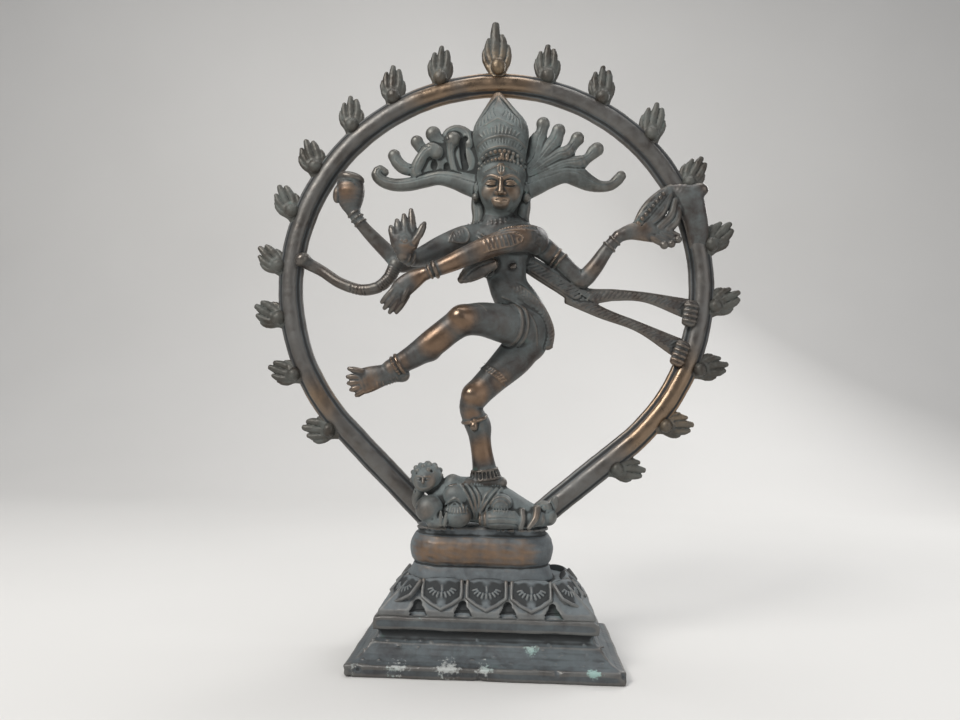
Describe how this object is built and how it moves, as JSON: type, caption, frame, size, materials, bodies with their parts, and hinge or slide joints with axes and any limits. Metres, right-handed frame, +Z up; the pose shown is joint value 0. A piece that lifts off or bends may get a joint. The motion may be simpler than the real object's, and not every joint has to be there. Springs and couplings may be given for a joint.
{
  "type": "nataraja statue",
  "caption": "Cast brass statue of a dancing four-armed figure inside a ring of flames, standing on a dwarf over a lotus seat and a stepped plinth.",
  "frame": {"origin": "bottom centre of the plinth, which is the middle of the statue's footprint", "axes": "+Z up the statue, -Y the way the figure faces, +X to its viewer's right"},
  "size_m": [0.1563, 0.05, 0.2029],
  "materials": {
    "base_patina": "dark aged casting with dusty recesses and brown rubbed edges",
    "ring_patina": "dark aged casting, brown-gold where hands have rubbed the ridge",
    "flame_patina": "dark aged casting with bright worn tips",
    "figure_patina": "dark aged casting with brown-gold high points and grey-green recesses",
    "dwarf_patina": "dark aged casting with dusty folds"
  },
  "bodies": {
    "root": {"plinth": "base_patina", "lotus_block": "base_patina", "lotus_petals": "base_patina", "seat_roll": "base_patina", "seat_cushion": "base_patina", "ring_hoop": "ring_patina", "hand_boss": "figure_patina", "dwarf_torso": "dwarf_patina", "dwarf_head": "dwarf_patina", "dwarf_arms": "dwarf_patina", "dwarf_legs": "dwarf_patina", "torso": "figure_patina", "head": "figure_patina", "neck_ornaments": "figure_patina", "crown": "figure_patina", "hair_fan_left": "figure_patina", "hair_fan_right": "figure_patina", "drum_arm": "figure_patina", "drum_hand": "figure_patina", "drum": "figure_patina", "flame_arm": "figure_patina", "flame_hand": "figure_patina", "hand_flame": "figure_patina", "blessing_arm": "figure_patina", "blessing_hand": "figure_patina", "crossing_arm": "figure_patina", "crossing_hand": "figure_patina", "cobra": "figure_patina", "sash_knot": "figure_patina", "sash_upper_tail": "figure_patina", "sash_lower_tail": "figure_patina", "sash_clips": "figure_patina", "hip_girdle": "figure_patina", "raised_thigh": "figure_patina", "raised_shin": "figure_patina", "raised_foot": "figure_patina", "standing_thigh": "figure_patina", "standing_shin": "figure_patina", "standing_foot": "figure_patina", "wrist_bangles": "figure_patina", "leg_bands": "figure_patina", "flame_01": "flame_patina", "flame_02": "flame_patina", "flame_03": "flame_patina", "flame_04": "flame_patina", "flame_05": "flame_patina", "flame_06": "flame_patina", "flame_07": "flame_patina", "flame_08": "flame_patina", "flame_09": "flame_patina", "flame_10": "flame_patina", "flame_11": "flame_patina", "flame_12": "flame_patina", "flame_13": "flame_patina", "flame_14": "flame_patina", "flame_15": "flame_patina", "flame_16": "flame_patina", "flame_17": "flame_patina", "flame_18": "flame_patina", "flame_19": "flame_patina"}
  },
  "joints": []
}
